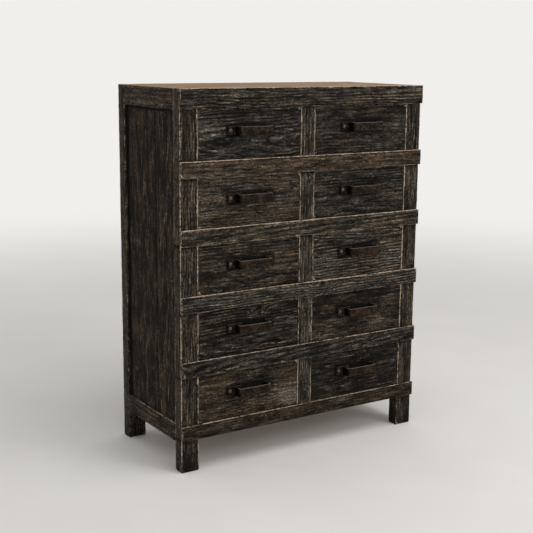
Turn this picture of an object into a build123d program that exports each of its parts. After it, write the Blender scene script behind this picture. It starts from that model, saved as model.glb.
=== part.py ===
"""Floor-standing seed storage chest of ten drawers, made of reclaimed boards.

Four posts run from the floor to the top. Side rails are tenoned into them, upright planks fill
each side, and six front rails lap over the posts and the centre stile. Every drawer is a
dovetailed box on wooden runners, opened by a pull bent from flat iron bar.

Millimetres. +X is to the right seen from the front, +Y to the back and +Z up. The origin is at
floor level, in the middle of the chest's width and of its depth over the pulls.
"""
from build123d import *
import os

os.makedirs("parts", exist_ok=True)

# --------------------------------------------------------------------------- carcass sizes
cabinet_width = 930.0            # over the posts
cabinet_depth = 420.0            # face of the front posts to the back of the rear posts
foot_height = 107.0              # floor to the bottom front rail
side_foot_height = 95.0          # floor to the bottom side rails
drawer_rows = 5
opening_height = 156.0           # clear height of each drawer opening
bottom_rail_height = 48.0
divider_height = 51.0            # front rail between two rows of drawers
top_rail_height = 61.0

post_width = 63.0                # seen from the front
post_depth = 42.0                # seen from the side
post_chamfer = 2.0
stile_width = 56.0
stile_chamfer = 1.5

front_rail_proud = 10.0          # lap over the faces of the posts and the stile
front_rail_thickness = 30.0      # behind the faces of the posts; the stile's thickness too
front_rail_chamfer = 2.0

side_rail_thickness = 30.0
side_rail_bottom_height = 60.0
side_rail_top_height = 65.0
side_tenon_length = 22.0
side_tenon_shoulder = 8.0        # at the outer edge of each side rail

panel_thickness = 14.0
panel_recess = 8.0               # side panel behind the outer faces of the posts
panel_groove = 9.0
panel_front_plank = 130.0        # width of the front plank of each side that shows
plank_gap = 1.0                  # open seam between two planks
plank_lap = 8.0                  # one plank's tongue over the next one's rebate
plank_lap_play = 0.2

rear_rail_thickness = 25.0
rear_rail_height = 60.0
rear_tenon_length = 20.0
rear_tenon_thickness = 12.0
rear_tenon_shoulder = 9.0
back_board_thickness = 12.0
back_board_count = 6

partition_thickness = 20.0
top_board_thickness = 16.0
top_board_count = 3
bottom_board_thickness = 12.0
bottom_board_count = 4
board_ledge = 12.0               # what the top and bottom boards rest on

runner_height = 18.0
runner_bearing = 18.0            # width of the strip under a drawer side
guide_rise = 24.0                # guide above the runner
stop_length = 8.0
stop_height = 14.0

# --------------------------------------------------------------------------- drawer sizes
drawer_recess = 1.5              # drawer fronts behind the faces of the posts
front_thickness = 22.0
front_side_gap = 1.5
front_bottom_gap = 1.5
front_top_gap = 2.5
front_chamfer = 1.2
side_thickness = 12.0
side_height = 138.0
running_gap = 0.4                # drawer side above its runner
back_thickness = 12.0
stop_gap = 0.4                   # drawer back in front of its stops
tail_count = 3
tail_length = 14.0               # half-blind: the rest of the front's thickness covers it
tail_slope = 1 / 7
pin_width = 12.0                 # drawer front left between two tails at their wide ends
bottom_thickness = 6.0
bottom_groove = 5.0
bottom_rise = 10.0               # drawer bottom above the lower edge of the sides

# --------------------------------------------------------------------------- pull sizes
pull_length = 166.0              # over both feet
pull_foot = 24.0
pull_height = 27.0               # width of the flat bar
pull_thickness = 4.5
pull_projection = 40.0           # drawer front to the face of the grip
pull_bend = 5.5                  # bend radius of the bar's middle line
pull_corner = 3.0                # cut corners of the feet
pull_rise = 88.0                 # floor of the opening to the middle of the pull
nail_size = 3.2                  # square shank
nail_depth = 14.0                # into the drawer front
nail_head_radius = 5.0
nail_head_height = 2.2
nail_head_taper = 38.0
nail_hole_play = 0.15
nail_sides = 8                   # hammered facets round each head

# --------------------------------------------------------------------------- worked-out places
sides = {"left": -1, "right": 1}
ends = {"front": -1, "rear": 1}

front_reach = max(pull_projection - drawer_recess, front_rail_proud)
front_y = (front_reach - cabinet_depth) / 2
back_y = front_y + cabinet_depth
frame_back_y = front_y + front_rail_thickness
rear_rail_back_y = back_y - back_board_thickness
rear_rail_front_y = rear_rail_back_y - rear_rail_thickness
rear_rail_y = (rear_rail_front_y + rear_rail_back_y) / 2

half_width = cabinet_width / 2
post_inner_x = half_width - post_width
opening_width = post_inner_x - stile_width / 2
column_x = stile_width / 2 + opening_width / 2
side_inner_x = half_width - side_rail_thickness
panel_x = half_width - panel_recess - panel_thickness / 2

row_pitch = opening_height + divider_height
bottom_rail_top = foot_height + bottom_rail_height
floors = [bottom_rail_top + (drawer_rows - row) * row_pitch for row in range(1, drawer_rows + 1)]
top_rail_bottom = floors[0] + opening_height
cabinet_height = top_rail_bottom + top_rail_height

side_rail_bottom_top = side_foot_height + side_rail_bottom_height
side_rail_top_bottom = cabinet_height - side_rail_top_height
panel_bottom = side_rail_bottom_top - panel_groove
panel_top = side_rail_top_bottom + panel_groove
side_tenon_spans = [
    (side_foot_height + side_tenon_shoulder, panel_bottom),
    (panel_top, cabinet_height - side_tenon_shoulder),
]
panel_front_y = front_y + post_depth - panel_groove
panel_back_y = back_y - post_depth + panel_groove

rear_rail_spans = [
    (foot_height, foot_height + rear_rail_height),
    (cabinet_height - rear_rail_height, cabinet_height),
]
post_centres = [
    (side * (half_width - post_width / 2), end * (cabinet_depth - post_depth) / 2 + (front_y + back_y) / 2)
    for side in sides.values()
    for end in ends.values()
]

bottom_board_z = bottom_rail_top - runner_height - bottom_board_thickness
top_board_z = cabinet_height - top_board_thickness
bed_front_y = frame_back_y - board_ledge
bed_back_y = rear_rail_front_y + board_ledge
bed_y = (bed_front_y + bed_back_y) / 2
bed_depth = bed_back_y - bed_front_y
bed_width = 2 * (side_inner_x + board_ledge)

front_width = opening_width - 2 * front_side_gap
front_height = opening_height - front_bottom_gap - front_top_gap
front_face_y = front_y + drawer_recess
front_back_y = front_face_y + front_thickness
box_back_y = rear_rail_front_y - stop_length - stop_gap
back_front_y = box_back_y - back_thickness
drawer_bottom_width = front_width - 2 * (side_thickness - bottom_groove)
pull_foot_x = (pull_length - pull_foot) / 2
pull_leg_x = pull_length / 2 - pull_foot - pull_thickness / 2


# --------------------------------------------------------------------------- helpers
def save(name, *pieces):
    """Labels a sub-part and writes it; several pieces stay separate solids in one file."""
    sub_part = pieces[0] if len(pieces) == 1 else Compound(children=list(pieces))
    sub_part.label = name
    export_step(sub_part, f"parts/{name}.step")


def cut_board_bed(bottom, thickness):
    """Cuts, from the part being built, the room that the top or bottom boards take."""
    with BuildSketch(Plane.XY.offset(bottom)) as bed:
        with Locations((0, bed_y)):
            Rectangle(bed_width, bed_depth)
    extrude(bed.sketch, amount=thickness, mode=Mode.SUBTRACT)


def shiplap_planks(plane, seams, thickness, height):
    """Upright planks between neighbouring seams along the plane's x, lapped behind each seam."""
    planks = []
    for start, end in zip(seams, seams[1:]):
        with BuildPart() as plank:
            with BuildSketch(plane):
                with Locations(((start + end) / 2, 0)):
                    Rectangle(end - start - plank_gap, thickness)
                if start != seams[0]:
                    with Locations((start + (plank_gap + plank_lap) / 2, thickness / 4)):
                        Rectangle(plank_lap, thickness / 2, mode=Mode.SUBTRACT)
                if end != seams[-1]:
                    with Locations((end + (plank_lap - plank_gap) / 2, (thickness + plank_lap_play) / 4)):
                        Rectangle(plank_lap, (thickness - plank_lap_play) / 2)
            extrude(amount=height)
        planks.append(plank.part)
    return planks


def lay_boards(bottom, thickness, count):
    """Boards side by side in their bed, notched round the four posts."""
    pitch = bed_depth / count
    with BuildPart() as boards:
        with BuildSketch(Plane.XY.offset(bottom)):
            with Locations((0, bed_y)):
                with GridLocations(0, pitch, 1, count):
                    Rectangle(bed_width, pitch - plank_gap)
            with Locations(*post_centres):
                Rectangle(post_width, post_depth, mode=Mode.SUBTRACT)
        extrude(amount=thickness)
    return boards.part


def draw_tails(root_y, end_y, low, high):
    """Draws the dovetails between two heights, from their narrow root to their wide end."""
    pitch = (high - low) / tail_count
    wide = (pitch - pin_width) / 2
    narrow = wide - abs(end_y - root_y) * tail_slope
    for number in range(tail_count):
        middle = low + (number + 0.5) * pitch
        Polygon(
            (root_y, middle - narrow),
            (end_y, middle - wide),
            (end_y, middle + wide),
            (root_y, middle + narrow),
            align=None,
        )


# --------------------------------------------------------------------------- posts
def make_post(side, end):
    """One post, grooved for the side panel and mortised for the side and rear rails."""
    outer_y = front_y if end < 0 else back_y
    joint_y = outer_y - end * post_depth
    with BuildPart() as post:
        with BuildSketch():
            with Locations((side * (half_width - post_width / 2), (outer_y + joint_y) / 2)):
                Rectangle(post_width, post_depth)
        extrude(amount=cabinet_height)
        chamfer(post.edges().filter_by(Axis.Z), post_chamfer)
        with BuildSketch(Plane.XY.offset(panel_bottom)):
            with Locations((side * panel_x, joint_y + end * panel_groove / 2)):
                Rectangle(panel_thickness, panel_groove)
        extrude(amount=panel_top - panel_bottom, mode=Mode.SUBTRACT)
        for low, high in side_tenon_spans:
            with BuildSketch(Plane.XY.offset(low)):
                with Locations((side * panel_x, joint_y + end * side_tenon_length / 2)):
                    Rectangle(panel_thickness, side_tenon_length)
            extrude(amount=high - low, mode=Mode.SUBTRACT)
        if end > 0:
            for low, high in rear_rail_spans:
                with BuildSketch(Plane.XY.offset(low + rear_tenon_shoulder)):
                    with Locations((side * (post_inner_x + rear_tenon_length / 2), rear_rail_y)):
                        Rectangle(rear_tenon_length, rear_tenon_thickness)
                extrude(amount=high - low - 2 * rear_tenon_shoulder, mode=Mode.SUBTRACT)
    return post.part


for end_name, end in ends.items():
    for side_name, side in sides.items():
        save(f"post_{end_name}_{side_name}", make_post(side, end))


# --------------------------------------------------------------------------- front rails, stile
def make_front_rail(bottom, height):
    """A plank across the whole front, thicker between the posts and the stile."""
    with BuildPart() as rail:
        with BuildSketch(Plane.XY.offset(bottom)):
            with Locations((0, front_y - front_rail_proud / 2)):
                Rectangle(cabinet_width, front_rail_proud)
            with Locations((0, front_y + front_rail_thickness / 2)):
                with GridLocations(2 * column_x, 0, 2, 1):
                    Rectangle(opening_width, front_rail_thickness)
        extrude(amount=height)
        chamfer(rail.faces().sort_by(Axis.Y)[0].edges(), front_rail_chamfer)
        cut_board_bed(bottom_board_z, bottom_board_thickness)
        cut_board_bed(top_board_z, top_board_thickness)
    return rail.part


save("rail_front_top", make_front_rail(top_rail_bottom, top_rail_height))
for number, floor in enumerate(floors[:-1], start=1):
    save(f"rail_front_{number}", make_front_rail(floor - divider_height, divider_height))
save("rail_front_bottom", make_front_rail(foot_height, bottom_rail_height))

with BuildPart() as centre_stile:
    with BuildSketch(Plane.XY.offset(foot_height)):
        with Locations((0, front_y + front_rail_thickness / 2)):
            Rectangle(stile_width, front_rail_thickness)
    extrude(amount=cabinet_height - foot_height)
    chamfer(centre_stile.edges().filter_by(Axis.Z).group_by(Axis.Y)[0], stile_chamfer)
    cut_board_bed(bottom_board_z, bottom_board_thickness)
    cut_board_bed(top_board_z, top_board_thickness)
save("centre_stile", centre_stile.part)

# --------------------------------------------------------------------------- centre partition
partition_bottom = bottom_board_z + bottom_board_thickness
with BuildPart() as centre_partition:
    with BuildSketch(Plane.YZ.offset(-partition_thickness / 2)):
        with BuildLine():
            Polyline(
                (frame_back_y, partition_bottom),
                (rear_rail_front_y, partition_bottom),
                (rear_rail_front_y, rear_rail_spans[0][1]),
                (rear_rail_back_y, rear_rail_spans[0][1]),
                (rear_rail_back_y, rear_rail_spans[1][0]),
                (rear_rail_front_y, rear_rail_spans[1][0]),
                (rear_rail_front_y, top_board_z),
                (frame_back_y, top_board_z),
                close=True,
            )
        make_face()
    extrude(amount=partition_thickness)
save("centre_partition", centre_partition.part)


# --------------------------------------------------------------------------- side rails, panels
def make_side_rail(side, bottom, height, groove_z, tenon_span):
    """A rail between two posts, with a groove for the panel and a tenon at each end."""
    rail_length = cabinet_depth - 2 * post_depth
    rail_y = (front_y + back_y) / 2
    with BuildPart() as rail:
        with BuildSketch(Plane.XY.offset(bottom)):
            with Locations((side * (half_width - side_rail_thickness / 2), rail_y)):
                Rectangle(side_rail_thickness, rail_length)
        extrude(amount=height)
        with BuildSketch(Plane.XY.offset(groove_z)):
            with Locations((side * panel_x, rail_y)):
                Rectangle(panel_thickness, rail_length)
        extrude(amount=panel_groove, mode=Mode.SUBTRACT)
        cut_board_bed(bottom_board_z, bottom_board_thickness)
        cut_board_bed(top_board_z, top_board_thickness)
        with BuildSketch(Plane.XY.offset(tenon_span[0])):
            with Locations((side * panel_x, rail_y)):
                with GridLocations(0, rail_length + side_tenon_length, 1, 2):
                    Rectangle(panel_thickness, side_tenon_length)
        extrude(amount=tenon_span[1] - tenon_span[0])
    return rail.part


save("side_rails", *[
    make_side_rail(side, bottom, height, groove_z, tenon_span)
    for side in sides.values()
    for bottom, height, groove_z, tenon_span in (
        (side_foot_height, side_rail_bottom_height, panel_bottom, side_tenon_spans[0]),
        (side_rail_top_bottom, side_rail_top_height, side_rail_top_bottom, side_tenon_spans[1]),
    )
])

panel_seams = [
    panel_front_y - plank_gap / 2,
    front_y + post_depth + panel_front_plank,
    panel_back_y + plank_gap / 2,
]
side_planks = []
for side in sides.values():
    panel_plane = Plane((side * panel_x, 0, panel_bottom), x_dir=(0, 1, 0), z_dir=(0, 0, 1))
    side_planks += shiplap_planks(panel_plane, panel_seams, panel_thickness, panel_top - panel_bottom)
save("side_panels", *side_planks)


# --------------------------------------------------------------------------- back
def make_rear_rail(low, high):
    """A rail between the rear posts, with a stub tenon at each end."""
    with BuildPart() as rail:
        with BuildSketch(Plane.XY.offset(low)):
            with Locations((0, rear_rail_y)):
                Rectangle(2 * post_inner_x, rear_rail_thickness)
        extrude(amount=high - low)
        cut_board_bed(bottom_board_z, bottom_board_thickness)
        cut_board_bed(top_board_z, top_board_thickness)
        with BuildSketch(Plane.XY.offset(low + rear_tenon_shoulder)):
            with Locations((0, rear_rail_y)):
                with GridLocations(2 * post_inner_x + rear_tenon_length, 0, 2, 1):
                    Rectangle(rear_tenon_length, rear_tenon_thickness)
        extrude(amount=high - low - 2 * rear_tenon_shoulder)
    return rail.part


save("rear_rails", *[make_rear_rail(low, high) for low, high in rear_rail_spans])

back_board_width = 2 * post_inner_x / back_board_count
back_seams = [number * back_board_width - post_inner_x for number in range(back_board_count + 1)]
back_board_y = back_y - back_board_thickness / 2
back_board_height = cabinet_height - foot_height
back_plane = Plane((0, back_board_y, foot_height), x_dir=(1, 0, 0), z_dir=(0, 0, 1))
save("back_boards", *shiplap_planks(back_plane, back_seams, back_board_thickness, back_board_height))

# --------------------------------------------------------------------------- top and bottom
save("top_boards", lay_boards(top_board_z, top_board_thickness, top_board_count))
save("bottom_boards", lay_boards(bottom_board_z, bottom_board_thickness, bottom_board_count))

# --------------------------------------------------------------------------- runners and guides
runner_x = {"outer": post_inner_x - runner_bearing / 2, "inner": (stile_width + runner_bearing) / 2}
outer_guide_x = (side_inner_x + post_inner_x) / 2
inner_guide_x = (partition_thickness + stile_width) / 4
runners = []
guides = []
for floor in floors:
    for side in sides.values():
        for strip_x in runner_x.values():
            with BuildPart() as runner:
                with BuildSketch(Plane.XY.offset(floor - runner_height)):
                    with Locations((side * strip_x, (frame_back_y + rear_rail_front_y) / 2)):
                        Rectangle(runner_bearing, rear_rail_front_y - frame_back_y)
                extrude(amount=runner_height)
            with BuildPart() as stop:
                with BuildSketch(Plane.XY.offset(floor)):
                    with Locations((side * strip_x, rear_rail_front_y - stop_length / 2)):
                        Rectangle(runner_bearing, stop_length)
                extrude(amount=stop_height)
            runners += [runner.part, stop.part]
        with BuildPart() as outer_guide:
            with BuildSketch(Plane.XY.offset(floor - runner_height)):
                with Locations((side * outer_guide_x, (front_y + back_y) / 2)):
                    Rectangle(post_width - side_rail_thickness, cabinet_depth - 2 * post_depth)
            extrude(amount=runner_height + guide_rise)
        with BuildPart() as inner_guide:
            with BuildSketch(Plane.XY.offset(floor - runner_height)):
                with Locations((side * inner_guide_x, (frame_back_y + rear_rail_front_y) / 2)):
                    Rectangle((stile_width - partition_thickness) / 2, rear_rail_front_y - frame_back_y)
            extrude(amount=runner_height + guide_rise)
        guides += [outer_guide.part, inner_guide.part]
save("drawer_runners", *runners)
save("drawer_guides", *guides)


# --------------------------------------------------------------------------- drawers
def cut_drawer_bottom(middle_x, bottom_z):
    """Cuts, from the piece being built, the room that the drawer bottom takes."""
    with BuildSketch(Plane.XY.offset(bottom_z)) as room:
        with Locations((middle_x, (front_back_y - bottom_groove + box_back_y) / 2)):
            Rectangle(drawer_bottom_width, box_back_y - front_back_y + bottom_groove)
    extrude(room.sketch, amount=bottom_thickness, mode=Mode.SUBTRACT)


def make_drawer_front(middle_x, floor):
    """A board with half-blind dovetail sockets at both ends, a groove and two nail holes."""
    side_bottom = floor + running_gap
    with BuildPart() as front:
        with BuildSketch(Plane.XY.offset(floor + front_bottom_gap)):
            with Locations((middle_x, (front_face_y + front_back_y) / 2)):
                Rectangle(front_width, front_thickness)
        extrude(amount=front_height)
        chamfer(front.faces().sort_by(Axis.Y)[0].edges(), front_chamfer)
        for socket_x in (middle_x - front_width / 2, middle_x + front_width / 2 - side_thickness):
            with BuildSketch(Plane.YZ.offset(socket_x)):
                draw_tails(front_back_y, front_back_y - tail_length, side_bottom, side_bottom + side_height)
            extrude(amount=side_thickness, mode=Mode.SUBTRACT)
        cut_drawer_bottom(middle_x, side_bottom + bottom_rise)
        with BuildSketch(Plane.XZ.offset(-front_face_y)):
            with Locations((middle_x, floor + pull_rise)):
                with GridLocations(2 * pull_foot_x, 0, 2, 1):
                    Rectangle(nail_size, nail_size)
        extrude(amount=-nail_depth, mode=Mode.SUBTRACT)
    return front.part


def make_drawer_side(outer_x, middle_x, floor):
    """A side with tails at both ends and a groove for the bottom."""
    side_bottom = floor + running_gap
    side_top = side_bottom + side_height
    bottom_top = side_bottom + bottom_rise + bottom_thickness
    with BuildPart() as drawer_side:
        with BuildSketch(Plane.YZ.offset(outer_x)):
            with Locations(((front_back_y + back_front_y) / 2, (side_bottom + side_top) / 2)):
                Rectangle(back_front_y - front_back_y, side_height)
            with Locations(((back_front_y + box_back_y) / 2, (side_bottom + bottom_top) / 2)):
                Rectangle(back_thickness, bottom_top - side_bottom)
            draw_tails(front_back_y, front_back_y - tail_length, side_bottom, side_top)
            draw_tails(back_front_y, box_back_y, bottom_top, side_top)
        extrude(amount=side_thickness)
        cut_drawer_bottom(middle_x, side_bottom + bottom_rise)
    return drawer_side.part


def make_drawer_back(middle_x, floor):
    """The back stands on the bottom, its pins between the tails of the sides."""
    side_top = floor + running_gap + side_height
    bottom_top = floor + running_gap + bottom_rise + bottom_thickness
    with BuildPart() as back:
        with BuildSketch(Plane.XY.offset(bottom_top)):
            with Locations((middle_x, (back_front_y + box_back_y) / 2)):
                Rectangle(front_width, back_thickness)
        extrude(amount=side_top - bottom_top)
        for tail_x in (middle_x - front_width / 2, middle_x + front_width / 2 - side_thickness):
            with BuildSketch(Plane.YZ.offset(tail_x)):
                draw_tails(back_front_y, box_back_y, bottom_top, side_top)
            extrude(amount=side_thickness, mode=Mode.SUBTRACT)
    return back.part


def make_drawer_bottom(middle_x, floor):
    """A thin panel in the grooves of the sides and front, passing under the back."""
    with BuildPart() as bottom:
        with BuildSketch(Plane.XY.offset(floor + running_gap + bottom_rise)):
            with Locations((middle_x, (front_back_y - bottom_groove + box_back_y) / 2)):
                Rectangle(drawer_bottom_width, box_back_y - front_back_y + bottom_groove)
        extrude(amount=bottom_thickness)
    return bottom.part


def make_pull(middle_x, floor):
    """Flat bar bent into a hat section: foot, leg, grip, leg, foot."""
    foot_y = front_face_y - pull_thickness / 2
    grip_y = front_face_y - pull_projection + pull_thickness / 2
    with BuildPart() as pull:
        with BuildSketch(Plane.XY.offset(floor + pull_rise - pull_height / 2)):
            with BuildLine():
                FilletPolyline(
                    (middle_x - pull_length / 2, foot_y),
                    (middle_x - pull_leg_x, foot_y),
                    (middle_x - pull_leg_x, grip_y),
                    (middle_x + pull_leg_x, grip_y),
                    (middle_x + pull_leg_x, foot_y),
                    (middle_x + pull_length / 2, foot_y),
                    radius=pull_bend,
                )
            trace(line_width=pull_thickness)
        extrude(amount=pull_height)
        foot_edges = pull.edges().filter_by(Axis.Y).group_by(Axis.X)
        chamfer(foot_edges[0] + foot_edges[-1], pull_corner)
        with BuildSketch(Plane.XZ.offset(-front_face_y)):
            with Locations((middle_x, floor + pull_rise)):
                with GridLocations(2 * pull_foot_x, 0, 2, 1):
                    Rectangle(nail_size + 2 * nail_hole_play, nail_size + 2 * nail_hole_play)
        extrude(amount=pull_thickness, mode=Mode.SUBTRACT)
    return pull.part


def make_nail(nail_x, nail_z):
    """A forged nail: square shank, faceted head on the foot of the pull."""
    head_plane = Plane((nail_x, front_face_y - pull_thickness, nail_z), x_dir=(1, 0, 0), z_dir=(0, -1, 0))
    with BuildPart() as nail:
        with BuildSketch(head_plane):
            RegularPolygon(nail_head_radius, nail_sides)
        extrude(amount=nail_head_height, taper=nail_head_taper)
        with BuildSketch(head_plane):
            Rectangle(nail_size, nail_size)
        extrude(amount=-(pull_thickness + nail_depth))
    return nail.part


for row, floor in enumerate(floors, start=1):
    for side_name, side in sides.items():
        drawer = f"drawer_{row}_{side_name}"
        middle_x = side * column_x
        left_outer_x = middle_x - front_width / 2
        right_outer_x = middle_x + front_width / 2 - side_thickness
        save(f"{drawer}_front", make_drawer_front(middle_x, floor))
        save(
            f"{drawer}_box",
            make_drawer_side(left_outer_x, middle_x, floor),
            make_drawer_side(right_outer_x, middle_x, floor),
            make_drawer_back(middle_x, floor),
        )
        save(f"{drawer}_bottom", make_drawer_bottom(middle_x, floor))
        save(
            f"{drawer}_pull",
            make_pull(middle_x, floor),
            make_nail(middle_x - pull_foot_x, floor + pull_rise),
            make_nail(middle_x + pull_foot_x, floor + pull_rise),
        )
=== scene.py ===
"""Looks of a floor-standing seed storage chest: worn black paint, a pale top, forged iron.

Lengths are metres, +Z is up and the fronts of the drawers face -Y. Every board is a primitive
that is cut, extruded and weathered where the frame says that the board is.
"""

import math
import random

import bpy
from mathutils import Matrix, Vector


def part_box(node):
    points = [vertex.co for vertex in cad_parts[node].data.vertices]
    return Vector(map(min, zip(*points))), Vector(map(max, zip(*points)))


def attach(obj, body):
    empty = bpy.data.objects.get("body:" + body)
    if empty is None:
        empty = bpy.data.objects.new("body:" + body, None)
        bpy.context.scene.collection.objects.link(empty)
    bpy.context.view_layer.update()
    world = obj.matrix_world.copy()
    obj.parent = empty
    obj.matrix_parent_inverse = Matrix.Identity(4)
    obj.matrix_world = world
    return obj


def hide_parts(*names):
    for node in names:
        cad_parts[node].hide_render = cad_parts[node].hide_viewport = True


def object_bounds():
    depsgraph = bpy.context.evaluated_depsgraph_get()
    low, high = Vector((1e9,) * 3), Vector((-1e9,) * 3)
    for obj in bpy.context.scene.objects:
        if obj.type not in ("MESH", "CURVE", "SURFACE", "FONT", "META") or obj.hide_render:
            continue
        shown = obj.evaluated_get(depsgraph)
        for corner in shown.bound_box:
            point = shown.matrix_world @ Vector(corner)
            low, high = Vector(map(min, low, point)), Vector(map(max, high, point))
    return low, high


bl_info = {
    "name": "Seed storage chest",
    "version": (1, 0, 0),
    "blender": (4, 5, 0),
    "location": "View3D > Sidebar > Chest",
    "description": "Dresses a chest of ten drawers in worn black paint, weathered boards and forged iron",
    "category": "Object",
}

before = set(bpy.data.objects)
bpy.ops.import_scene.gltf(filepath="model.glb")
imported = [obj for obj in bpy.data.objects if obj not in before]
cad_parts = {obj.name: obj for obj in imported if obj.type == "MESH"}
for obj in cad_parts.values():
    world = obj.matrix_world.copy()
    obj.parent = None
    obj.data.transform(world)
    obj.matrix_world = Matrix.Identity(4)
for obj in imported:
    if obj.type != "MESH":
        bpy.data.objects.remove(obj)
cad_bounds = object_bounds()

MM = 0.001
X, Y, Z = 0, 1, 2
CARCASS = "carcass"
SIDES = ("left", "right")
ROWS = range(1, 6)
DRAWERS = [f"drawer_{row}_{side}" for row in ROWS for side in SIDES]
FRONT_RAILS = [f"rail_front_{place}" for place in ("top", 1, 2, 3, 4, "bottom")]


def linear(hex_code):
    """An sRGB hex colour as linear red, green and blue."""
    values = [int(hex_code[place:place + 2], 16) / 255 for place in (1, 3, 5)]
    return tuple(v / 12.92 if v <= 0.04045 else ((v + 0.055) / 1.055) ** 2.4 for v in values)


# ------------------------------------------------------------------------------ settings
def length(name, description, default):
    """A length that a user can change in the panel."""
    return bpy.props.FloatProperty(name=name, description=description, default=default,
                                   min=0.0, unit="LENGTH", precision=5)


def colour(name, description, hex_code):
    """A colour that a user can change in the panel."""
    return bpy.props.FloatVectorProperty(name=name, description=description, size=3, min=0.0, max=1.0,
                                         subtype="COLOR", default=linear(hex_code))


class ChestWear(bpy.types.PropertyGroup):
    """How far the boards are worn."""
    spacing: length("Mesh spacing", "Distance between two cuts along a board", 8 * MM)
    arris: length("Arris radius", "Rounding of a board's long edges", 1.4 * MM)
    chips: length("Chip depth", "How deep the arrises are chipped", 1.5 * MM)
    hewn: length("Hewn depth", "How far a hand-planed face waves", 0.6 * MM)
    seam: length("Seam", "Open gap between two planks", 1 * MM)
    lap: length("Lap", "Tongue of one plank behind the next", 8 * MM)


class ChestPull(bpy.types.PropertyGroup):
    """Sizes of the pulls, which are bent from flat iron bar."""
    thickness: length("Bar thickness", "Thickness of the flat bar", 4.5 * MM)
    foot: length("Foot", "Length of each foot on the drawer front", 24 * MM)
    bend: length("Inner bend", "Radius inside each bend", 3.2 * MM)
    nail_radius: length("Nail head", "Radius of each nail head", 6.5 * MM)
    nail_height: length("Nail height", "Height of each nail head", 2.6 * MM)


class ChestColours(bpy.types.PropertyGroup):
    """Colours of paint, wood and iron."""
    paint: colour("Paint", "Sound black paint", "#151412")
    smoked: colour("Smoked paint", "Black paint gone brown", "#18120b")
    grey: colour("Grey wood", "Grey wood where the paint is rubbed thin", "#3b3935")
    brown: colour("Brown wood", "Brown wood where the paint is rubbed thin", "#46392c")
    ridge: colour("Ridges", "Bare ridges of the grain", "#7a7264")
    frost: colour("Frost", "Dry paint rubbed to a pale bloom", "#857a6c")
    arris: colour("Worn arris", "Bare wood along the arrises", "#b09d88")
    # the crack colour also paints the shade in the nooks and the shadow behind the pulls
    crack: colour("Cracks", "Dirt in the cracks", "#060403")
    # the top boards and the faces level with them are painted pale grey-beige
    top: colour("Top", "Weathered boards of the top", "#8e775d")
    top_dark: colour("Top stain", "Grey-brown stain in the top boards", "#6a5743")
    pine: colour("Pine", "Bare pine inside", "#8f6c47")
    pine_dark: colour("Pine rings", "Late wood of the bare pine", "#6d4c2d")
    scale: colour("Scale", "Black scale on the forged iron", "#080604")
    rust: colour("Rust", "Brown rust where hands rub the iron", "#35281b")
    # pale iron on edges and nail heads: rubbed bare, and on the grip's top edge partly a painted highlight
    bright: colour("Bright iron", "Iron rubbed bare on edges and nail heads", "#655f56")


def wear():
    """The scene's settings for wear."""
    return bpy.context.scene.chest_wear


def colours():
    """The scene's colours."""
    return bpy.context.scene.chest_colours


# ------------------------------------------------------------------------------ modelling helpers
def pick(piece):
    """Selects one piece alone and makes it active."""
    bpy.ops.object.select_all(action="DESELECT")
    piece.select_set(True)
    bpy.context.view_layer.objects.active = piece


def select_faces(piece, test):
    """Selects the faces whose middle and normal pass a test."""
    bpy.context.tool_settings.mesh_select_mode = (False, False, True)
    for part in (piece.data.vertices, piece.data.edges):
        part.foreach_set("select", [False] * len(part))
    for face in piece.data.polygons:
        face.select = test(face.center, face.normal)


def select_edges(piece, test):
    """Selects the edges whose two ends pass a test."""
    mesh = piece.data
    bpy.context.tool_settings.mesh_select_mode = (False, True, False)
    mesh.vertices.foreach_set("select", [False] * len(mesh.vertices))
    mesh.polygons.foreach_set("select", [False] * len(mesh.polygons))
    for edge in mesh.edges:
        edge.select = test(*(mesh.vertices[number].co for number in edge.vertices))


def block(name, low, high):
    """A rectangular block between two corners, at the origin with its place in its mesh."""
    bpy.ops.object.select_all(action="DESELECT")
    middle = [(a + b) / 2 for a, b in zip(low, high)]
    size = [b - a for a, b in zip(low, high)]
    bpy.ops.mesh.primitive_cube_add(size=1, location=middle, scale=size)
    piece = bpy.context.active_object
    piece.name = piece.data.name = name
    bpy.ops.object.transform_apply(location=True, rotation=True, scale=True)
    return piece


def edit(operator, everything=False, **settings):
    """Runs an edit-mode operator on what is selected in the active piece, or on all of it."""
    bpy.ops.object.mode_set(mode="EDIT")
    if everything:
        bpy.ops.mesh.select_all(action="SELECT")
    operator(**settings)
    bpy.ops.object.mode_set(mode="OBJECT")


def edit_all(piece, operator, **settings):
    """Runs an edit-mode operator on the whole of a piece."""
    pick(piece)
    edit(operator, everything=True, **settings)


def cut_at(piece, axis, places):
    """Cuts an edge loop across a piece at each place along an axis."""
    normal = [float(number == axis) for number in range(3)]
    for place in places:
        edit_all(piece, bpy.ops.mesh.bisect, plane_co=[place * part for part in normal], plane_no=normal)


def extrude(piece, test, shift):
    """Extrudes the faces that pass a test."""
    pick(piece)
    select_faces(piece, test)
    edit(bpy.ops.mesh.extrude_region_move, TRANSFORM_OT_translate={"value": shift})


def bevel_edges(piece, test, radius, segments):
    """Rounds the edges that pass a test."""
    pick(piece)
    select_edges(piece, test)
    edit(bpy.ops.mesh.bevel, offset=radius, segments=segments, affect="EDGES", clamp_overlap=False)


def apply(piece, kind, **settings):
    """Adds a modifier and applies it."""
    pick(piece)
    modifier = piece.modifiers.new(kind.lower(), kind)
    for setting, value in settings.items():
        setattr(modifier, setting, value)
    bpy.ops.object.modifier_apply(modifier=modifier.name)


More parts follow.
